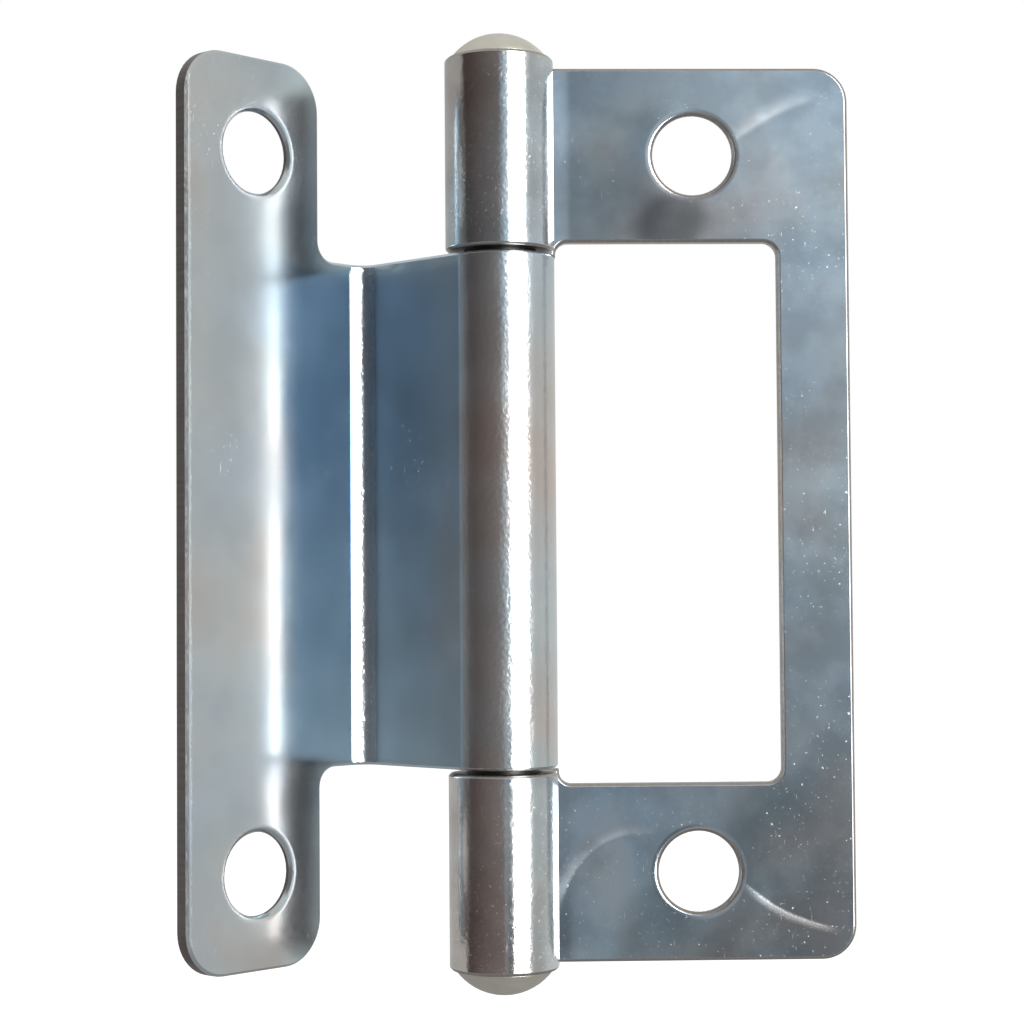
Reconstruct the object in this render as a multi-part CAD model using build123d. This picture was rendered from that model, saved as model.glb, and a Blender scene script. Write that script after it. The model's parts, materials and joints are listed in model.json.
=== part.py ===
from build123d import *
from build123d.topology import topo_explore_connected_faces
import math
import os

# Cranked flush hinge of plated sheet steel, in millimetres.
# +Z runs up the pin, +X from the pin to the frame leaf's free edge,
# and +Y from the frame leaf's wood face to its countersunk face.
# The origin is midway between the frame leaf's screw holes, on its wood face.

# Sheet and pin
sheet = 1.0
pin_d = 3.9
pin_clearance = 0.05
head_d = 5.4
head_height = 1.4
seam_gap = 0.25
knuckle_gap = 0.25

# Frame leaf
frame_height = 50.0
frame_reach = 19.7
frame_rail = 4.05
frame_corner_r = 1.9
window_corner_r = 0.8
window_clearance = 1.1
shoulder_gap = 0.15
shoulder_r = 0.7
frame_hole_reach = 10.92

# Cranked leaf
tongue_height = 28.1
tongue_length = 7.85
crank_inner_r = 0.8
flange_height = 49.35
flange_length = 12.7
tab_setback = 3.3
flange_corner_r = 2.5
tab_root_r = 1.1
flange_hole_setback = 7.8
flange_hole_inset = 5.175

# Screw holes in both leaves, drawn in by the punch on the wood face
screw_hole_d = 4.5
countersink_d = 5.7
countersink_angle = 90.0
draw_d = 5.4
draw_depth = 0.05
draw_r = 3.0

# Rims broken by the punch and the plating
rim_break = 0.15

# Turn of the cranked leaf from lying flush in the window to its rest pose
rest_turn = 135.0

# Values that follow from those above
bore_r = pin_d / 2 + pin_clearance
barrel_r = bore_r + sheet
window_reach = frame_reach - frame_rail
window_height = tongue_height + 2 * window_clearance
frame_hole_spacing = (frame_height + window_height) / 2
flange_hole_spacing = flange_height - 2 * flange_hole_inset
knuckle_end = tongue_height / 2 + knuckle_gap
shoulder_reach = barrel_r + shoulder_gap
roll_end = math.degrees(math.asin((bore_r - seam_gap) / barrel_r))
past_all = 2 * (frame_height + frame_reach + flange_length)
pin_axis = Location((-frame_hole_reach, -bore_r, 0))


def rolled_eye():
    """Section of an eye about the pin, open between the roll's end and the strip that leaves along +X."""
    ring = Circle(barrel_r) - Circle(bore_r)
    end = Vector(past_all, 0).rotate(Axis.Z, roll_end)
    mouth = make_face(Polyline((0, 0), end, (past_all, past_all), (0, past_all), close=True))
    return ring - mouth


def rect(x_min, x_max, y_min, y_max):
    """Rectangle between two pairs of limits."""
    return Pos((x_min + x_max) / 2, (y_min + y_max) / 2) * Rectangle(x_max - x_min, y_max - y_min)


def corners_at(outline, x):
    """Corners of an outline that lie at one x."""
    return [v for v in outline.vertices() if math.isclose(v.X, x, abs_tol=1e-6)]


def punched(section, outline, view):
    """Sheet with one bent section all along Z, trimmed to an outline seen square on."""
    bent = extrude(section, past_all, both=True)
    return bent & extrude(view * outline, past_all, both=True)


def break_rims(leaf):
    """Breaks the rims where the broad sides of a punched sheet meet its cut walls."""
    rims = []
    for edge in leaf.edges():
        sides = [Face(f).normal_at(edge @ 0.5) for f in topo_explore_connected_faces(edge, leaf)]
        through_sheet = math.isclose(edge.length, sheet, rel_tol=0.01)
        if not through_sheet and abs(sides[0].dot(sides[-1])) < 0.5:
            rims.append(edge)
    return chamfer(rims, rim_break)


def screw_holes(face, spacing):
    """Two holes through a sheet, countersunk from the given plane, one above the other."""
    hole_r = screw_hole_d / 2
    sink_r = countersink_d / 2
    entry_r = draw_d / 2
    cone_depth = (sink_r - hole_r) / math.tan(math.radians(countersink_angle / 2))
    entry = RadiusArc((entry_r, -sheet), (hole_r, draw_depth - sheet), draw_r)
    wall = Polyline(entry @ 1, (hole_r, -cone_depth), (sink_r, 0), (sink_r, sheet), (0, sheet))
    axis = Polyline((0, sheet), (0, -2 * sheet), (entry_r, -2 * sheet), entry @ 0)
    cutter = revolve(Plane.XZ * make_face([entry, wall, axis]), Axis.Z)
    return [face * Pos(0, side * spacing / 2) * cutter for side in (-1, 1)]


def frame_leaf():
    """Frame round a window, with two outer knuckles rolled from its strips."""
    section = rolled_eye() + rect(0, frame_reach, bore_r, barrel_r)
    outline = rect(-barrel_r, frame_reach, -frame_height / 2, frame_height / 2)
    outline = fillet(corners_at(outline, frame_reach), frame_corner_r)
    window = rect(shoulder_reach, window_reach, -window_height / 2, window_height / 2)
    window = fillet(corners_at(window, window_reach), window_corner_r)
    window = fillet(corners_at(window, shoulder_reach), shoulder_r)
    gap = rect(-barrel_r, window_reach - window_corner_r, -knuckle_end, knuckle_end)
    leaf = punched(section, outline - window - gap, Plane.XZ)
    back = Plane((frame_hole_reach, barrel_r, 0), x_dir=(1, 0, 0), z_dir=(0, 1, 0))
    return break_rims(leaf - screw_holes(back, frame_hole_spacing))


def cranked_leaf():
    """Centre knuckle, tongue, right-angle crank and T flange, lying flush in the window."""
    inside = (tongue_length, barrel_r)
    outside = (tongue_length + sheet, bore_r)
    tip = barrel_r + flange_length
    bend = Polyline(
        (0, bore_r), outside, (outside[0], tip), (tongue_length, tip), inside, (0, barrel_r), close=True
    )
    crank = make_face(bend)
    crank = fillet(crank.vertices().sort_by_distance(inside)[0], crank_inner_r)
    crank = fillet(crank.vertices().sort_by_distance(outside)[0], crank_inner_r + sheet)
    flange = rect(barrel_r + tab_setback, tip, -flange_height / 2, flange_height / 2)
    flange = fillet(flange.vertices(), flange_corner_r)
    tongue = rect(-barrel_r, barrel_r + flange_hole_setback, -tongue_height / 2, tongue_height / 2)
    outline = flange + tongue
    roots = [v for v in outline.vertices() if math.isclose(v.X, barrel_r + tab_setback)]
    roots = [v for v in roots if math.isclose(abs(v.Y), tongue_height / 2)]
    outline = fillet(roots, tab_root_r)
    leaf = punched(rolled_eye() + crank, outline, Plane.YZ)
    back = Plane((outside[0], barrel_r + flange_hole_setback, 0), x_dir=(0, 1, 0), z_dir=(1, 0, 0))
    return break_rims(leaf - screw_holes(back, flange_hole_spacing))


def hinge_pin():
    """Pin through the three knuckles, with a domed head on each end of the barrel."""
    dome_r = ((head_d / 2) ** 2 + head_height**2) / (2 * head_height)
    pin = Cylinder(pin_d / 2, frame_height)
    for side in (-1, 1):
        dome = Pos(0, 0, head_height - dome_r) * Sphere(dome_r)
        dome &= Cylinder(head_d, head_height, align=(Align.CENTER, Align.CENTER, Align.MIN))
        pin += Pos(0, 0, side * frame_height / 2) * Rot(0 if side > 0 else 180, 0, 0) * dome
    return pin


nodes = {
    "frame_leaf": pin_axis * frame_leaf(),
    "cranked_leaf": pin_axis * Rot(0, 0, rest_turn) * cranked_leaf(),
    "hinge_pin": pin_axis * hinge_pin(),
}

os.makedirs("parts", exist_ok=True)
for name, solid in nodes.items():
    export_step(solid, f"parts/{name}.step")
    print(name, "volume", round(solid.volume, 2), "size", solid.bounding_box().size)
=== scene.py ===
import json
import math

import bpy
from mathutils import Matrix, Vector


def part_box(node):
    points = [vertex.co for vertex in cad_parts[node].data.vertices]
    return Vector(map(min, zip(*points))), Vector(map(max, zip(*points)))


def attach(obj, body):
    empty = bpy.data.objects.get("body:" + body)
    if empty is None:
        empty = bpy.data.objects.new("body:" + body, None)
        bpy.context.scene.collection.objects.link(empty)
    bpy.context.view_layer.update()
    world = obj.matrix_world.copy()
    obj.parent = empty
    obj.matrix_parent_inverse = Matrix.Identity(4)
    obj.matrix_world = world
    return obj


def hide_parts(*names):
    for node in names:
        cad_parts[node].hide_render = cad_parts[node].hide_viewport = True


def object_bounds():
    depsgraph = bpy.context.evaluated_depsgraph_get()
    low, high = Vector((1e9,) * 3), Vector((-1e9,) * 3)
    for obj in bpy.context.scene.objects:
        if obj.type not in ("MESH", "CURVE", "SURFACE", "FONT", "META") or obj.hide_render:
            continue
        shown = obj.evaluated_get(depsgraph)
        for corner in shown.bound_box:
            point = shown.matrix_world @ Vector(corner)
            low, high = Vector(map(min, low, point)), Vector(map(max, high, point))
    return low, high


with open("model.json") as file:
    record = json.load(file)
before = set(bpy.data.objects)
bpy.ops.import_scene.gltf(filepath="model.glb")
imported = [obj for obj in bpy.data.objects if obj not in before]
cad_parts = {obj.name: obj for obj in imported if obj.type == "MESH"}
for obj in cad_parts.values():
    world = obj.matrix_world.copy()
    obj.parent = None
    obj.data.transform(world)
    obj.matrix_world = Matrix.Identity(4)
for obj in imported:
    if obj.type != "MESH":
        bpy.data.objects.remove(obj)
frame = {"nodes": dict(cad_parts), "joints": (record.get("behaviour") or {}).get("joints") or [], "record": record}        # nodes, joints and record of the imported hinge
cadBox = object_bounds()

mm = 0.001
print("frame loaded:", sorted(frame["nodes"]))


def hexColour(code):
    # sRGB hex to the linear values that sockets take
    channels = [int(code[i:i + 2], 16) / 255 for i in (1, 3, 5)]
    linear = [c / 12.92 if c <= 0.04045 else ((c + 0.055) / 1.055) ** 2.4 for c in channels]
    return (*linear, 1.0)


def perMm(size):
    # texture scale for a feature of this many millimetres
    return 1.0 / (size * mm)


def addNode(tree, kind, values=None, links=None):
    # one node with its settings, socket values and incoming links; a linked node gives its first output
    node = tree.nodes.new("ShaderNode" + kind)
    for key, value in (values or {}).items():
        if isinstance(key, str) and hasattr(node, key):
            setattr(node, key, value)
        else:
            node.inputs[key].default_value = value
    for key, source in (links or {}).items():
        tree.links.new(source.outputs[0] if hasattr(source, "outputs") else source, node.inputs[key])
    return node


def newMaterial(name):
    material = bpy.data.materials.new(name)
    material.use_nodes = True
    material.node_tree.nodes.clear()
    return material, material.node_tree


# places on the hinge that the finishes follow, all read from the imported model
mounts = {mount["name"]: mount for mount in frame["record"]["mounts"]}
pin = Vector(frame["joints"][0]["pos_m"])
barrelRadius = pin.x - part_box("frame_leaf")[0].x
up = Vector((0, 0, 1))
frameNormal = Vector(mounts["frame_screws"]["axis"])
frameHole = Vector(mounts["frame_screws"]["pos_m"])
frameSpacing = mounts["frame_screws"]["dims"]["spacing_y_mm"] * mm
flangeNormal = Vector(mounts["flange_screws"]["axis"])
flangeHole = Vector(mounts["flange_screws"]["pos_m"])
flangeSpacing = mounts["flange_screws"]["dims"]["pcd_mm"] * mm
tongueNormal = flangeNormal.cross(up)    # also runs from the crank to the flange's free edge
valley = flangeHole + tongueNormal * (barrelRadius - (flangeHole - pin).dot(tongueNormal))
flangeTip = max(vertex.co.dot(tongueNormal) for vertex in frame["nodes"]["cranked_leaf"].data.vertices)

# plated copies of the solids: rims rounded as rolling and plating leave them, and cut walls told
# from rolled faces
plated = {
    "merge": 0.0015 * mm,
    "flatWithin": math.radians(0.3),
    "sharpFrom": math.radians(20),
    "rimWidth": 0.09 * mm,
    "rimSegments": 3,
    "flatWeight": 100,       # broad faces rule the normals, so that they stay true mirrors
    "crankRadius": 0.8 * mm,
    "barrelReach": 1.02,     # in barrel radii, what still counts as barrel
    # cosine between a face and the rolled side under which it is a bare cut wall
    "wallBelow": {"frame_leaf": 0.75, "cranked_leaf": 0.5},
}
bendCentre = valley + (flangeNormal + tongueNormal) * plated["crankRadius"]


def barrelSide(place):
    out = place - pin
    out.z = 0
    return out.normalized() if out.length < barrelRadius * plated["barrelReach"] else None


def frameSide(place):
    return barrelSide(place) or frameNormal


def crankedSide(place):
    out = place - bendCentre
    out.z = 0
    onFlange = out.dot(flangeNormal) < 0
    onTongue = out.dot(tongueNormal) < 0
    if onFlange and onTongue:
        return out.normalized()
    return barrelSide(place) or (flangeNormal if onFlange else tongueNormal)


def platedCopy(node, body, side=None):
    piece = bpy.data.objects.new(node + "_plated", frame["nodes"][node].data.copy())
    bpy.context.collection.objects.link(piece)
    bpy.ops.object.select_all(action="DESELECT")
    piece.select_set(True)
    bpy.context.view_layer.objects.active = piece
    bpy.ops.mesh.customdata_custom_splitnormals_clear()
    bpy.ops.object.mode_set(mode="EDIT")
    bpy.ops.mesh.select_all(action="SELECT")
    bpy.ops.mesh.remove_doubles(threshold=plated["merge"])
    bpy.ops.mesh.dissolve_limited(angle_limit=plated["flatWithin"])
    bpy.ops.object.mode_set(mode="OBJECT")
    bpy.ops.object.shade_smooth()
    piece.data.materials.clear()
    piece.data.materials.append(None)
    if side:
        piece.data.materials.append(None)    # a second slot, for the cut walls
    for face in piece.data.polygons:
        isWall = side and abs(face.normal.dot(side(face.center))) < plated["wallBelow"][node]
        face.material_index = 1 if isWall else 0
    bevel = piece.modifiers.new("rims", "BEVEL")
    bevel.width = plated["rimWidth"]
    bevel.segments = plated["rimSegments"]
    bevel.limit_method = "ANGLE"
    bevel.angle_limit = plated["sharpFrom"]
    bpy.ops.object.modifier_apply(modifier=bevel.name)
    flat = piece.modifiers.new("flat faces", "WEIGHTED_NORMAL")
    flat.mode = "FACE_AREA"
    flat.weight = plated["flatWeight"]
    bpy.ops.object.modifier_apply(modifier=flat.name)
    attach(piece, body)
    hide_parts(node)
    return piece


frameLeaf = platedCopy("frame_leaf", "frame_side", frameSide)
crankedLeaf = platedCopy("cranked_leaf", "cranked_side", crankedSide)
hingePin = platedCopy("hinge_pin", "frame_side")
print("rims rounded:", [len(piece.data.polygons) for piece in (frameLeaf, crankedLeaf, hingePin)])


# zinc plate on cold-rolled steel: a slightly blue worn mirror, clouded and wavy, dimpled like
# orange peel where the sheet was rolled or bent, with handling specks and short scuffs;
# lengths are in millimetres, and Levels are the noise values between which a thing sets in
zincSheet = {
    "plain": "#d2d8da",
    "cool": "#c6d2dc",
    "warm": "#d6cdc9",
    "driftSize": 11,
    "coolLevels": (0.48, 0.66),
    "warmLevels": (0.50, 0.36),
    "mottleSize": 3.2,
    "mottleLevels": (0.40, 0.60),
    "cloudSize": 5,
    "cloudLevels": (0.35, 0.65),
    "waveSize": 12,
    "unevenBy": 2.5,             # how far swells, patches of painted shade and creases wander from their true outline
    "rollEdge": (1.005, 1.001),  # the barrel's own finish sets in here, in barrel radii
    "rollRoughness": 0.05,
    "rollShoulder": 1.6,
    "rollHeight": 0.06,
    "peelSize": 0.24,            # drawn coarser than the real grain
    "peelHeight": 0.015,
    "swellReach": (2.6, 6.5),
    "swellHeight": 0.05,
    "shadeCore": 0.5,            # share of a painted shade patch's reach that is darkest
    "creaseCrisp": 0.3,          # a crease's sharp side, as a share of its width
}


def sheetPlaces(tree):
    # where on the sheet a point lies: as it is, drawn uneven, and round the pin
    spot = addNode(tree, "TexCoord").outputs["Object"]
    flat = addNode(tree, "VectorMath", {"operation": "MULTIPLY", 1: (1, 1, 0)}, {0: spot})
    fromPin = addNode(tree, "VectorMath", {"operation": "DISTANCE", 1: (pin.x, pin.y, 0)}, {0: flat})
    outside, rolled = [share * barrelRadius for share in zincSheet["rollEdge"]]
    onBarrel = addNode(tree, "MapRange", {"From Min": outside, "From Max": rolled},
                       {"Value": fromPin.outputs["Value"]})
    waves = addNode(tree, "TexNoise", {"Scale": perMm(zincSheet["waveSize"]), "Detail": 1.0},
                    {"Vector": spot})
    wander = zincSheet["unevenBy"] * mm
    warp = addNode(tree, "VectorMath", {"operation": "MULTIPLY_ADD", 1: (wander,) * 3},
                   {0: waves.outputs["Color"], 2: spot})
    uneven = addNode(tree, "VectorMath", {"operation": "SUBTRACT", 1: (wander / 2,) * 3}, {0: warp})
    return {"spot": spot, "flat": flat, "fromPin": fromPin.outputs["Value"], "onBarrel": onBarrel,
            "waves": waves, "uneven": uneven}


def driftColour(tree, at):
    # slow drift of the plating's colour
    drift = addNode(tree, "TexNoise", {"Scale": perMm(zincSheet["driftSize"]), "Detail": 2.0},
                    {"Vector": at["spot"]})
    start, full = zincSheet["coolLevels"]
    isCool = addNode(tree, "MapRange", {"From Min": start, "From Max": full}, {"Value": drift})
    start, full = zincSheet["warmLevels"]
    isWarm = addNode(tree, "MapRange", {"From Min": start, "From Max": full}, {"Value": drift})
    cooled = addNode(tree, "Mix", {
        "data_type": "RGBA", 6: hexColour(zincSheet["plain"]), 7: hexColour(zincSheet["cool"]),
    }, {0: isCool})
    return addNode(tree, "Mix", {"data_type": "RGBA", 7: hexColour(zincSheet["warm"])},
                   {0: isWarm, 6: cooled.outputs[2]})


# what the same plate shows on the cranked leaf alone, with lengths in millimetres
crankPlate = {
    "blueAndReflection": "#aec5d8",          # blue passivate in the valley of the crank, with painted reflection as far along the flange as it mirrors the tongue; paler towards its ends
    "paleBlueAndReflection": "#d6e7f1",
    "blueAndReflectionTo": (4.8, 6.6),       # from the crank, where it starts to end and where it is gone
    "blueAndReflectionFoot": (4, -15),       # up the pin, where it is full and where it is pale
    "blueAndReflectionTabs": (13.2, 13.9),   # paler on the tabs too, where they mirror the barrel, as painted reflection, and along the sheared edges between them
    "bendEdge": (1.25, 1.05),    # the bend's own finish sets in here, in bend radii
    "bendFade": 0.15,
    "bendRoughness": 0.18,       # more where the plate is crazed in the bend
    "bendBeads": 3.0,            # how much deeper the peel is in the bend and on the tip
    "tipBeads": 1.7,
    "tipEdge": (0.35, 0.2),      # from the end of the flange
    "bowHeight": 0.20,           # the flange leans back a little where the bend sprang
    "easeReach": (0.3, -0.25),   # it eases into the bend from before the arc to a little past its start
    "easeHeight": 0.09,
    "halfSheet": 0.5,            # as deep as this under its face, the flange has its back
}


def crankPlaces(tree, at):
    # how far along the flange a point lies, and whether it is in the bend, its crazed half or the tip
    along = addNode(tree, "VectorMath", {"operation": "DOT_PRODUCT", 1: tongueNormal}, {0: at["spot"]})
    fromBend = addNode(tree, "VectorMath",
                       {"operation": "DISTANCE", 1: (bendCentre.x, bendCentre.y, 0)}, {0: at["flat"]})
    outside, rounded = [share * plated["crankRadius"] for share in crankPlate["bendEdge"]]
    bent = addNode(tree, "MapRange", {"From Min": outside, "From Max": rounded},
                   {"Value": fromBend.outputs["Value"]})
    fade = crankPlate["bendFade"] * mm
    for beside in (flangeNormal, tongueNormal):
        ahead = addNode(tree, "VectorMath", {"operation": "DOT_PRODUCT", 1: beside}, {0: at["spot"]})
        arcEnd = bendCentre.dot(beside)
        inArc = addNode(tree, "MapRange", {"From Min": arcEnd + fade / 2, "From Max": arcEnd - fade / 2},
                        {"Value": ahead.outputs["Value"]})
        bent = addNode(tree, "Math", {"operation": "MULTIPLY"}, {0: bent, 1: inArc})
    toFlange = tongueNormal - flangeNormal
    sideways = addNode(tree, "VectorMath", {"operation": "DOT_PRODUCT", 1: toFlange}, {0: at["spot"]})
    middle = bendCentre.dot(toFlange)
    flangeHalf = addNode(tree, "MapRange", {"From Min": middle - fade, "From Max": middle + fade},
                         {"Value": sideways.outputs["Value"]})
    crazed = addNode(tree, "Math", {"operation": "MULTIPLY"}, {0: bent, 1: flangeHalf})
    inside, rim = [flangeTip - reach * mm for reach in crankPlate["tipEdge"]]
    atTip = addNode(tree, "MapRange", {"From Min": inside, "From Max": rim},
                    {"Value": along.outputs["Value"]})
    return {"along": along.outputs["Value"], "bent": bent, "crazed": crazed, "atTip": atTip}


def blueAndReflectionColour(tree, at, crank, colour):
    # blue passivate in the valley of the crank with painted reflection, as far along the flange as it
    # mirrors the tongue and paler on the tabs that mirror the barrel; none on the barrel and in the crazed
    # bend
    inner, outer = [valley.dot(tongueNormal) + reach * mm for reach in crankPlate["blueAndReflectionTo"]]
    isBlue = addNode(tree, "MapRange", {"From Min": outer, "From Max": inner}, {"Value": crank["along"]})
    level = addNode(tree, "SeparateXYZ", None, {0: at["spot"]}).outputs["Z"]
    full, foot = [place * mm for place in crankPlate["blueAndReflectionFoot"]]
    palerFoot = addNode(tree, "MapRange", {"From Min": full, "From Max": foot}, {"Value": level})
    offMiddle = addNode(tree, "Math", {"operation": "ABSOLUTE"}, {0: level})
    inside, beyond = [place * mm for place in crankPlate["blueAndReflectionTabs"]]
    onTab = addNode(tree, "MapRange", {"From Min": inside, "From Max": beyond}, {"Value": offMiddle})
    palerTint = addNode(tree, "Math", {"operation": "MAXIMUM"}, {0: palerFoot, 1: onTab})
    # painted reflection as well as blue passivate: the tint copies the colour of the tongue and barrel
    # mirrored here
    blue = addNode(tree, "Mix", {
        "data_type": "RGBA", 6: hexColour(crankPlate["blueAndReflection"]), 7: hexColour(crankPlate["paleBlueAndReflection"]),
    }, {0: palerTint})
    shaped = addNode(tree, "Math", {"operation": "MAXIMUM"}, {0: at["onBarrel"], 1: crank["crazed"]})
    unshaped = addNode(tree, "Math", {"operation": "SUBTRACT", 0: 1.0}, {1: shaped})
    blueHere = addNode(tree, "Math", {"operation": "MULTIPLY"}, {0: isBlue, 1: unshaped})
    return addNode(tree, "Mix", {"data_type": "RGBA"},
                   {0: blueHere, 6: colour.outputs[2], 7: blue.outputs[2]})


def crankHeights(tree, at, crank):
    # bow of the flange, and its ease into the bend, which is level on the sheet's back
    bow = addNode(tree, "MapRange", {
        "interpolation_type": "SMOOTHSTEP", "From Min": flangeTip, "From Max": valley.dot(tongueNormal),
        "To Max": crankPlate["bowHeight"] * mm,
    }, {"Value": crank["along"]})
    before, past = [bendCentre.dot(tongueNormal) + reach * mm for reach in crankPlate["easeReach"]]
    eased = addNode(tree, "MapRange",
                    {"interpolation_type": "SMOOTHSTEP", "From Min": before, "From Max": past},
                    {"Value": crank["along"]})
    depth = addNode(tree, "VectorMath", {"operation": "DOT_PRODUCT", 1: flangeNormal}, {0: at["spot"]})
    backFrom = valley.dot(flangeNormal) - crankPlate["halfSheet"] * mm
    isBack = addNode(tree, "Math", {"operation": "LESS_THAN", 1: backFrom}, {0: depth.outputs["Value"]})
    levelled = addNode(tree, "Math", {"operation": "MAXIMUM"}, {0: eased, 1: isBack})
    ease = addNode(tree, "Math", {"operation": "MULTIPLY", 1: crankPlate["easeHeight"] * mm}, {0: levelled})
    return [bow, ease]


# painted shade: darker patches beside the frame leaf's holes, where its swelled sheet looks darker; centre
# (x, z) and reach in millimetres, and the share of the light that they leave
frameShadePatches = (
    {"centre": (-1.6, 16.4), "reach": 2.7, "leaves": 0.52},
    {"centre": (-5.2, 18.0), "reach": 4.0, "leaves": 0.84},
    {"centre": (-2.4, -23.2), "reach": 2.6, "leaves": 0.78},
    {"centre": (4.0, -17.4), "reach": 3.4, "leaves": 0.80},
)


def mottleShade(tree, at, finish, shadePatches):
    # fine mottling of the finish, and its patches of painted shade
    mottle = addNode(tree, "TexNoise", {"Scale": perMm(zincSheet["mottleSize"]), "Detail": 4.0},
                     {"Vector": at["spot"]})
    start, full = zincSheet["mottleLevels"]
    dark, light = finish["mottle"]
    shade = addNode(tree, "MapRange", {
        "From Min": start, "From Max": full, "To Min": dark, "To Max": light,
    }, {"Value": mottle})
    # painted shade: each patch darkens the colour towards its centre
    for shadePatch in shadePatches:
        x, z = shadePatch["centre"]
        reach = shadePatch["reach"] * mm
        core = zincSheet["shadeCore"] * reach
        away = addNode(tree, "VectorMath", {"operation": "DISTANCE", 1: (x * mm, 0, z * mm)},
                       {0: at["uneven"]})
        leaves = addNode(tree, "MapRange", {
            "interpolation_type": "SMOOTHSTEP", "From Min": reach, "From Max": core,
            "To Min": 1.0, "To Max": shadePatch["leaves"],
        }, {"Value": away.outputs["Value"]})
        shade = addNode(tree, "Math", {"operation": "MULTIPLY"}, {0: shade, 1: leaves})
    return shade


# press creases on the frame leaf: centre (x, z), radius, width and height in millimetres, the way they
# face, the cosine of half their arc, and the roughness that rubbing gave them
frameCreases = (
    {"centre": (-2.8, -22.9), "radius": 4.8, "width": 0.8, "height": 0.006,
     "faces": (-0.58, 0, 0.81), "arc": 0.55, "dull": 0.15},
    {"centre": (9.6, -12.2), "radius": 11.2, "width": 0.45, "height": 0.006,
     "faces": (-0.45, 0, -0.89), "arc": 0.95, "dull": 0.17},
    {"centre": (8.9, 11.8), "radius": 11.5, "width": 1.1, "height": 0.008,
     "faces": (-0.40, 0, 0.92), "arc": 0.955, "dull": 0.12},
)


def creaseRidge(tree, at, crease, shade):
    # arc that is sharp on its inner side, soft on its outer side and uneven along its length
    x, z = crease["centre"]
    width = crease["width"] * mm
    out = addNode(tree, "VectorMath", {"operation": "SUBTRACT", 1: (x * mm, 0, z * mm)}, {0: at["uneven"]})
    away = addNode(tree, "VectorMath", {"operation": "LENGTH"}, {0: out})
    off = addNode(tree, "Math", {"operation": "SUBTRACT", 1: crease["radius"] * mm},
                  {0: away.outputs["Value"]})
    crisp = addNode(tree, "MapRange", {"From Min": -zincSheet["creaseCrisp"] * width, "From Max": 0.0},
                    {"Value": off})
    soft = addNode(tree, "MapRange",
                   {"interpolation_type": "SMOOTHSTEP", "From Min": width, "From Max": 0.0}, {"Value": off})
    outWay = addNode(tree, "VectorMath", {"operation": "NORMALIZE"}, {0: out})
    facing = addNode(tree, "VectorMath", {"operation": "DOT_PRODUCT", 1: crease["faces"]}, {0: outWay})
    shown = addNode(tree, "MapRange", {"interpolation_type": "SMOOTHSTEP", "From Min": crease["arc"]},
                    {"Value": facing.outputs["Value"]})
    ridge = addNode(tree, "Math", {"operation": "MULTIPLY"}, {0: crisp, 1: soft})
    patchy = addNode(tree, "Math", {"operation": "MULTIPLY"}, {0: shown, 1: shade})
    return addNode(tree, "Math", {"operation": "MULTIPLY"}, {0: ridge, 1: patchy})


# handling marks: short scuffs and grit, in patches that grow towards the foot of the free edge
handling = {
    "gritSize": 0.22,            # drawn coarser than real dust and scratches, which would not show
    "gritLevels": (0.64, 0.74),
    "scratch": (0.12, 0.12, 1.0),
    "scratchLean": 11,
    "scratchLevels": (0.71, 0.80),
    "wearSize": 6,
    "footWay": (0.6, 0, -0.8),   # the way in which wear grows, and by how much it has grown at footReach
    "footReach": 20,
    "footShare": 0.16,
    "mark": "#eef1f2",
    "roughness": 0.28,
}


def handlingMarks(tree, at, finish):
    wearPatch = addNode(tree, "TexNoise", {"Scale": perMm(handling["wearSize"]), "Detail": 1.0},
                        {"Vector": at["spot"]})
    toFoot = addNode(tree, "VectorMath", {"operation": "DOT_PRODUCT", 1: handling["footWay"]},
                     {0: at["spot"]})
    reach = handling["footReach"] * mm
    footShare = addNode(tree, "MapRange",
                        {"From Min": -reach, "From Max": reach, "To Max": handling["footShare"]},
                        {"Value": toFoot.outputs["Value"]})
    wearSum = addNode(tree, "Math", {"operation": "ADD"}, {0: wearPatch, 1: footShare})
    start, full = finish["wear"]
    wear = addNode(tree, "MapRange", {"From Min": start, "From Max": full}, {"Value": wearSum})
    stretched = addNode(tree, "Mapping", {
        "Scale": [perMm(size) for size in handling["scratch"]],
        "Rotation": (0, math.radians(handling["scratchLean"]), 0),
    }, {"Vector": at["spot"]})
    scratch = addNode(tree, "TexNoise", {"Scale": 1.0, "Detail": 1.0}, {"Vector": stretched})
    start, full = handling["scratchLevels"]
    scratched = addNode(tree, "MapRange", {"From Min": start, "From Max": full}, {"Value": scratch})
    grit = addNode(tree, "TexNoise", {"Scale": perMm(handling["gritSize"]), "Detail": 2.0},
                   {"Vector": at["spot"]})
    start, full = handling["gritLevels"]
    gritted = addNode(tree, "MapRange", {"From Min": start, "From Max": full}, {"Value": grit})
    scuffs = addNode(tree, "Math", {"operation": "MAXIMUM"}, {0: scratched, 1: gritted})
    return addNode(tree, "Math", {"operation": "MULTIPLY"}, {0: scuffs, 1: wear})


# how each leaf was handled: roughness of its bright and clouded places, dark and light of its mottling,
# the noise levels from which it is worn, the height of its waves in millimetres, and the depth of its peel
frameFinish = {"gloss": (0.09, 0.14), "mottle": (0.84, 1.05), "wear": (0.47, 0.62),
               "waves": 0.03, "peel": 0.6}
crankedFinish = {"gloss": (0.14, 0.19), "mottle": (0.96, 1.02), "wear": (0.62, 0.74),
                 "waves": 0.012, "peel": 1.0}


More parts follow.
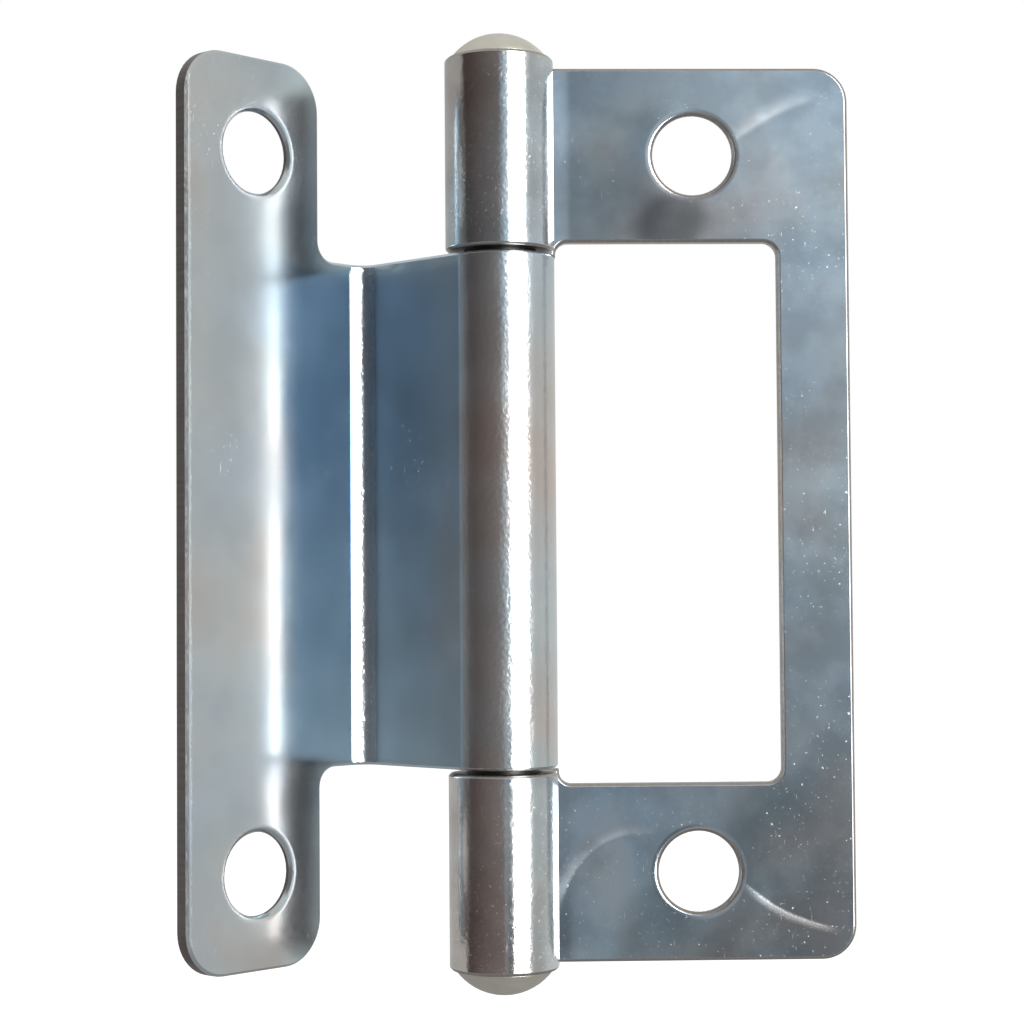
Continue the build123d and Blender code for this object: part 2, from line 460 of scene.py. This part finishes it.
def sheetHeights(tree, at, finish, holes, grained):
    # in metres: orange peel, waves, and the swell round each hole
    peel = addNode(tree, "TexNoise", {"Scale": perMm(zincSheet["peelSize"]), "Detail": 1.0},
                   {"Vector": at["spot"]})
    peelHeight = finish["peel"] * zincSheet["peelHeight"] * mm
    peelDeep = addNode(tree, "Math", {"operation": "MULTIPLY", 1: peelHeight}, {0: grained})
    heights = [
        addNode(tree, "Math", {"operation": "MULTIPLY"}, {0: peel, 1: peelDeep}),
        addNode(tree, "Math", {"operation": "MULTIPLY", 1: finish["waves"] * mm}, {0: at["waves"]}),
    ]
    near, far = [reach * mm for reach in zincSheet["swellReach"]]
    for hole in holes:
        away = addNode(tree, "VectorMath", {"operation": "DISTANCE", 1: hole}, {0: at["uneven"]})
        heights.append(addNode(tree, "MapRange", {
            "interpolation_type": "SMOOTHSTEP", "From Min": far, "From Max": near,
            "To Max": zincSheet["swellHeight"] * mm,
        }, {"Value": away.outputs["Value"]}))
    return heights


def makeZincSheet(name, finish, holes, creases=(), shadePatches=(), cranked=False):
    material, tree = newMaterial(name)
    at = sheetPlaces(tree)
    colour = driftColour(tree, at)
    grained = at["onBarrel"]
    if cranked:
        crank = crankPlaces(tree, at)
        colour = blueAndReflectionColour(tree, at, crank, colour)
        bendBeads = addNode(tree, "Math", {"operation": "MULTIPLY", 1: crankPlate["bendBeads"]},
                            {0: crank["bent"]})
        tipBeads = addNode(tree, "Math", {"operation": "MULTIPLY", 1: crankPlate["tipBeads"]},
                           {0: crank["atTip"]})
        beads = addNode(tree, "Math", {"operation": "MAXIMUM"}, {0: bendBeads, 1: tipBeads})
        grained = addNode(tree, "Math", {"operation": "MAXIMUM"}, {0: grained, 1: beads})
    shade = mottleShade(tree, at, finish, shadePatches)
    shaded = addNode(tree, "VectorMath", {"operation": "SCALE"}, {0: colour.outputs[2], "Scale": shade})

    cloud = addNode(tree, "TexNoise", {"Scale": perMm(zincSheet["cloudSize"]), "Detail": 2.0},
                    {"Vector": at["spot"]})
    start, full = zincSheet["cloudLevels"]
    smooth, dull = finish["gloss"]
    worn = addNode(tree, "MapRange", {
        "From Min": start, "From Max": full, "To Min": smooth, "To Max": dull,
    }, {"Value": cloud})
    worn = addNode(tree, "Math", {"operation": "MULTIPLY_ADD", 1: zincSheet["rollRoughness"]},
                   {0: at["onBarrel"], 2: worn})

    heights = sheetHeights(tree, at, finish, holes, grained)
    if cranked:
        heights += crankHeights(tree, at, crank)
        rough = addNode(tree, "Math", {"operation": "MAXIMUM"}, {0: crank["crazed"], 1: crank["atTip"]})
        worn = addNode(tree, "Math", {"operation": "MULTIPLY_ADD", 1: crankPlate["bendRoughness"]},
                       {0: rough, 2: worn})
    else:
        heights.append(addNode(tree, "MapRange", {
            "interpolation_type": "SMOOTHSTEP", "From Min": barrelRadius + zincSheet["rollShoulder"] * mm,
            "From Max": barrelRadius, "To Max": zincSheet["rollHeight"] * mm,
        }, {"Value": at["fromPin"]}))    # the shoulder beside the roll
    for crease in creases:
        ridge = creaseRidge(tree, at, crease, shade)
        raised = addNode(tree, "Math", {"operation": "MULTIPLY", 1: crease["height"] * mm}, {0: ridge})
        heights.append(raised)
        worn = addNode(tree, "Math", {"operation": "MULTIPLY_ADD", 1: crease["dull"]}, {0: ridge, 2: worn})

    marks = handlingMarks(tree, at, finish)
    marked = addNode(tree, "Mix", {"data_type": "RGBA", 7: hexColour(handling["mark"])},
                     {0: marks, 6: shaded})
    roughness = addNode(tree, "Mix", {"data_type": "FLOAT", 3: handling["roughness"]}, {0: marks, 2: worn})
    relief = heights[0]
    for more in heights[1:]:
        relief = addNode(tree, "Math", {"operation": "ADD"}, {0: relief, 1: more})
    bump = addNode(tree, "Bump", {"Strength": 1.0, "Distance": 1.0}, {"Height": relief})
    shader = addNode(tree, "BsdfPrincipled", {"Metallic": 1.0},
                     {"Base Color": marked.outputs[2], "Roughness": roughness, "Normal": bump})
    addNode(tree, "OutputMaterial", None, {"Surface": shader})
    return material


# sheared edge of the sheet under thin plate: dull brown-grey, with the punch's drag lines across the wall,
# in millimetres; painted lighter on the frame leaf and darker on the cranked leaf, whose tip wall faces the
# dark side: painted light and shade
shearedEdge = {
    # painted light on the frame leaf's walls, painted shade on the cranked leaf's walls
    "frame": ("#9a9593", "#c0bcb9"),
    "cranked": ("#6a6362", "#8c8583"),
    "roughness": 0.32,
    "line": 0.22,
    "lineLength": 3.0,
    "lineHeight": 0.008,
}


def makeShearedEdge(name, side, shades):
    dark, light = shades
    material, tree = newMaterial(name)
    spot = addNode(tree, "TexCoord").outputs["Object"]
    turn = math.atan2(side.x, side.y)    # brings the drag lines on to the pattern's own Y
    turned = addNode(tree, "Mapping", {"Rotation": (0, 0, turn)}, {"Vector": spot})
    line = perMm(shearedEdge["line"])
    scale = (line, perMm(shearedEdge["lineLength"]), line)
    drawn = addNode(tree, "Mapping", {"Scale": scale}, {"Vector": turned})
    lines = addNode(tree, "TexNoise", {"Scale": 1.0, "Detail": 2.0}, {"Vector": drawn})
    colour = addNode(tree, "Mix", {"data_type": "RGBA", 6: hexColour(dark), 7: hexColour(light)},
                     {0: lines})
    relief = addNode(tree, "Math", {"operation": "MULTIPLY", 1: shearedEdge["lineHeight"] * mm}, {0: lines})
    bump = addNode(tree, "Bump", {"Strength": 1.0, "Distance": 1.0}, {"Height": relief})
    shader = addNode(tree, "BsdfPrincipled", {"Metallic": 1.0, "Roughness": shearedEdge["roughness"]},
                     {"Base Color": colour.outputs[2], "Normal": bump})
    addNode(tree, "OutputMaterial", None, {"Surface": shader})
    return material


# dull zinc on the peened pin: pale beige grey heads, softly dented by the riveting tool, and a shank
# that oil and painted shade darken where it shows between the knuckles, with the dents in millimetres
zincPin = {
    "colour": "#ebe8de",
    "dark": "#d6d3c8",
    "roughness": (0.34, 0.46),
    "dentSize": 0.9,
    "dentHeight": 0.03,
    "oiledAndShaded": "#4b4a46",
}


def makeZincPin():
    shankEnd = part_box("frame_leaf")[1].z
    material, tree = newMaterial("dull_zinc_pin")
    spot = addNode(tree, "TexCoord").outputs["Object"]
    dents = addNode(tree, "TexNoise", {"Scale": perMm(zincPin["dentSize"]), "Detail": 2.0},
                    {"Vector": spot})
    dented = addNode(tree, "Mix", {
        "data_type": "RGBA", 6: hexColour(zincPin["dark"]), 7: hexColour(zincPin["colour"]),
    }, {0: dents})
    level = addNode(tree, "SeparateXYZ", None, {0: spot}).outputs["Z"]
    offMiddle = addNode(tree, "Math", {"operation": "ABSOLUTE"}, {0: level})
    isShank = addNode(tree, "Math", {"operation": "LESS_THAN", 1: shankEnd}, {0: offMiddle})
    # painted shade, besides the oil: the shank in the gaps between the knuckles is coloured dark
    colour = addNode(tree, "Mix", {"data_type": "RGBA", 7: hexColour(zincPin["oiledAndShaded"])},
                     {0: isShank, 6: dented.outputs[2]})
    smooth, dull = zincPin["roughness"]
    roughness = addNode(tree, "MapRange", {"To Min": smooth, "To Max": dull}, {"Value": dents})
    relief = addNode(tree, "Math", {"operation": "MULTIPLY", 1: zincPin["dentHeight"] * mm}, {0: dents})
    bump = addNode(tree, "Bump", {"Strength": 1.0, "Distance": 1.0}, {"Height": relief})
    shader = addNode(tree, "BsdfPrincipled", {"Metallic": 1.0},
                     {"Base Color": colour.outputs[2], "Roughness": roughness, "Normal": bump})
    addNode(tree, "OutputMaterial", None, {"Surface": shader})
    return material


halves = (-0.5, 0.5)    # each leaf has one hole below its middle and one above it
frameHoles = [frameHole + up * share * frameSpacing for share in halves]
flangeHoles = [flangeHole + up * share * flangeSpacing for share in halves]
frameLeaf.data.materials[0] = makeZincSheet(
    "zinc_plated_frame_leaf", frameFinish, frameHoles, frameCreases, frameShadePatches)
frameLeaf.data.materials[1] = makeShearedEdge(
    "sheared_frame_leaf_edge", frameNormal, shearedEdge["frame"])
crankedLeaf.data.materials[0] = makeZincSheet(
    "zinc_plated_cranked_leaf", crankedFinish, flangeHoles, cranked=True)
crankedLeaf.data.materials[1] = makeShearedEdge(
    "sheared_cranked_leaf_edge", flangeNormal, shearedEdge["cranked"])
hingePin.data.materials[0] = makeZincPin()
print("materials on")


# pale floor, far enough under the hinge to keep its shadow out of the photo's view
stageSet = {
    "floorDrop": 75 * mm,
    "floorSize": 4.0,
    "floorColour": "#f2f2f0",
    "floorLift": (0.2, 0.55),      # added white as the camera sees it, under the hinge and far from it
    "liftFrom": (0.1, 0.36),
    "background": "#ffffff",
    "fill": 0.6,
}


def seenRays(tree):
    # 1 where the camera, a reflection or a clear body looks
    rays = addNode(tree, "LightPath")
    seen = addNode(tree, "Math", {"operation": "MAXIMUM"},
                   {0: rays.outputs["Is Camera Ray"], 1: rays.outputs["Is Glossy Ray"]})
    return addNode(tree, "Math", {"operation": "MAXIMUM"},
                   {0: seen, 1: rays.outputs["Is Transmission Ray"]})


def makeFloor():
    bpy.ops.object.select_all(action="DESELECT")
    bpy.ops.mesh.primitive_plane_add(size=stageSet["floorSize"])
    floor = bpy.context.object
    floor.name = "floor"
    floor.location.z = cadBox[0].z - stageSet["floorDrop"]
    material, tree = newMaterial("pale_floor")
    spot = addNode(tree, "TexCoord").outputs["Object"]
    away = addNode(tree, "VectorMath", {"operation": "LENGTH"}, {0: spot})
    near, far = stageSet["liftFrom"]
    low, high = stageSet["floorLift"]
    lift = addNode(tree, "MapRange", {
        "interpolation_type": "SMOOTHSTEP",
        "From Min": near, "From Max": far, "To Min": low, "To Max": high,
    }, {"Value": away.outputs["Value"]})
    strength = addNode(tree, "Math", {"operation": "MULTIPLY"}, {0: lift, 1: seenRays(tree)})
    paint = addNode(tree, "BsdfDiffuse", {"Color": hexColour(stageSet["floorColour"])})
    white = addNode(tree, "Emission", {"Color": hexColour(stageSet["background"])}, {"Strength": strength})
    both = addNode(tree, "AddShader", None, {0: paint, 1: white})
    addNode(tree, "OutputMaterial", None, {"Surface": both})
    floor.data.materials.append(material)


def makeWorld():
    world = bpy.data.worlds.new("studio")
    bpy.context.scene.world = world
    world.use_nodes = True
    tree = world.node_tree
    tree.nodes.clear()
    white = hexColour(stageSet["background"])
    shown = addNode(tree, "Background", {"Color": white, "Strength": 1.0})
    fill = addNode(tree, "Background", {"Color": white, "Strength": stageSet["fill"]})
    both = addNode(tree, "MixShader", None, {0: seenRays(tree), 1: fill, 2: shown})
    addNode(tree, "OutputWorld", None, {"Surface": both})


# the photo's own viewpoint, solved from the hinge's outline
photoView = {
    "place": Vector((-13.938, -131.325, -4.864)) * mm,
    "yaw": 1.59,
    "pitch": -2.13,
    "roll": 0.40,
    "focalPixels": 2354.0,
    "imagePixels": 1024,
    "sensor": 36.0,
    "clipStart": 1 * mm,
}


def makeCamera():
    data = bpy.data.cameras.new("photo_camera")
    data.sensor_width = photoView["sensor"]
    data.lens = photoView["sensor"] * photoView["focalPixels"] / photoView["imagePixels"]
    data.clip_start = photoView["clipStart"]
    camera = bpy.data.objects.new("photo_camera", data)
    bpy.context.collection.objects.link(camera)
    turn = Matrix.Rotation(math.radians(-photoView["yaw"]), 4, "Z")
    tip = Matrix.Rotation(math.radians(90 - photoView["pitch"]), 4, "X")
    lean = Matrix.Rotation(math.radians(-photoView["roll"]), 4, "Z")
    camera.matrix_world = Matrix.Translation(photoView["place"]) @ turn @ tip @ lean
    bpy.context.scene.camera = camera


# light tent round the hinge, seen only in its reflections; azimuths in degrees, positive to the right
# of the viewpoint, each panel's colours at its left and right edge, and its light at foot and head
tent = {
    "radius": 0.45,
    "segments": 96,
    "rings": 48,
    "groundDrop": 72 * mm,
    "cloth": "#d6d6d3",
    "canopy": "#cfcfcb",
    "canopyFrom": (28, 48),
    "ground": "#9c9b9a",
    "groundFrom": (-12, -26),
    "panelFoot": -14,    # elevations at which a panel has its two lights
    "panelHead": 14,
}
tentPanels = {
    "side": {"from": -190, "to": -86, "soft": 8,
             "left": "#b6b8b6", "right": "#a6a9a8", "light": (1.3, 1.0)},
    "drape": {"from": -86, "to": 1.5, "soft": 10,
              "left": "#3d3433", "right": "#7d7775", "light": (1.2, 1.0)},
    "door post": {"from": 1.5, "to": 5.5, "soft": 3,
                  "left": "#8b9fad", "right": "#8f9fab", "light": (0.88, 0.9)},
    "door": {"from": 5.5, "to": 16, "soft": 3,
             "left": "#93a0ab", "right": "#a4aeb5", "light": (0.30, 1.6)},
    "wall": {"from": 60, "to": 98, "soft": 10,
             "left": "#bcbebd", "right": "#d2d1ce", "light": (1.0, 1.0)},
}


def makeTent():
    bpy.ops.object.select_all(action="DESELECT")
    bpy.ops.mesh.primitive_uv_sphere_add(
        segments=tent["segments"], ring_count=tent["rings"], radius=tent["radius"])
    obj = bpy.context.object
    obj.name = "light_tent"
    bpy.ops.object.mode_set(mode="EDIT")
    bpy.ops.mesh.select_all(action="SELECT")
    bpy.ops.mesh.bisect(plane_co=(0, 0, cadBox[0].z - tent["groundDrop"]), plane_no=(0, 0, 1),
                        use_fill=True, clear_inner=True)
    bpy.ops.object.mode_set(mode="OBJECT")
    material, tree = newMaterial("tent_cloth")
    spot = addNode(tree, "TexCoord").outputs["Object"]
    outward = addNode(tree, "VectorMath", {"operation": "NORMALIZE"}, {0: spot})
    axes = addNode(tree, "SeparateXYZ", None, {0: outward})
    front = addNode(tree, "Math", {"operation": "MULTIPLY", 1: -1.0}, {0: axes.outputs["Y"]})
    turn = addNode(tree, "Math", {"operation": "ARCTAN2"}, {0: axes.outputs["X"], 1: front})
    azimuth = addNode(tree, "Math", {"operation": "DEGREES"}, {0: turn})
    rise = addNode(tree, "Math", {"operation": "ARCSINE"}, {0: axes.outputs["Z"]})
    elevation = addNode(tree, "Math", {"operation": "DEGREES"}, {0: rise})
    colour = addNode(tree, "Mix", {"data_type": "RGBA", 0: 0.0, 6: hexColour(tent["cloth"])})
    for panel in tentPanels.values():
        left = panel["from"]
        right = panel["to"]
        half = panel["soft"] / 2
        entered = addNode(tree, "MapRange", {
            "interpolation_type": "SMOOTHSTEP", "From Min": left - half, "From Max": left + half,
        }, {"Value": azimuth})
        notLeft = addNode(tree, "MapRange", {
            "interpolation_type": "SMOOTHSTEP", "From Min": right + half, "From Max": right - half,
        }, {"Value": azimuth})
        inside = addNode(tree, "Math", {"operation": "MULTIPLY"}, {0: entered, 1: notLeft})
        across = addNode(tree, "MapRange", {"From Min": left, "From Max": right}, {"Value": azimuth})
        cloth = addNode(tree, "Mix", {
            "data_type": "RGBA", 6: hexColour(panel["left"]), 7: hexColour(panel["right"]),
        }, {0: across})
        foot, head = panel["light"]
        brightness = addNode(tree, "MapRange", {
            "From Min": tent["panelFoot"], "From Max": tent["panelHead"], "To Min": foot, "To Max": head,
        }, {"Value": elevation})
        lit = addNode(tree, "VectorMath", {"operation": "SCALE"},
                      {0: cloth.outputs[2], "Scale": brightness})
        colour = addNode(tree, "Mix", {"data_type": "RGBA"}, {0: inside, 6: colour.outputs[2], 7: lit})
    for part in ("canopy", "ground"):
        start, end = tent[part + "From"]
        reached = addNode(tree, "MapRange",
                          {"interpolation_type": "SMOOTHSTEP", "From Min": start, "From Max": end},
                          {"Value": elevation})
        colour = addNode(tree, "Mix", {"data_type": "RGBA", 7: hexColour(tent[part])},
                         {0: reached, 6: colour.outputs[2]})
    glow = addNode(tree, "Emission", None, {"Color": colour.outputs[2]})
    addNode(tree, "OutputMaterial", None, {"Surface": glow})
    obj.data.materials.append(material)
    obj.visible_camera = False
    obj.visible_diffuse = False
    obj.visible_transmission = False
    obj.visible_shadow = False


# softbox to the right of the viewpoint: the white stripe down the barrel and along the bends
softbox = {
    "azimuth": 35,
    "elevation": 9,
    "distance": 0.4,
    "width": 0.235,
    "height": 0.56,
    "radiance": 8.0,
}


def makeSoftbox():
    data = bpy.data.lights.new("softbox", "AREA")
    data.shape = "RECTANGLE"
    data.size = softbox["width"]
    data.size_y = softbox["height"]
    data.energy = softbox["radiance"] * math.pi * softbox["width"] * softbox["height"]
    lamp = bpy.data.objects.new("softbox", data)
    bpy.context.collection.objects.link(lamp)
    swing = math.radians(softbox["azimuth"])
    lift = math.radians(softbox["elevation"])
    level = math.cos(lift)
    direction = Vector((math.sin(swing) * level, -math.cos(swing) * level, math.sin(lift)))
    lamp.location = direction * softbox["distance"]
    lamp.rotation_euler = direction.to_track_quat("Z", "Y").to_euler()
    lamp.visible_camera = False


makeTent()
makeSoftbox()
makeFloor()
makeWorld()
makeCamera()
bpy.context.scene.view_settings.view_transform = "Standard"
print("stage and camera set")
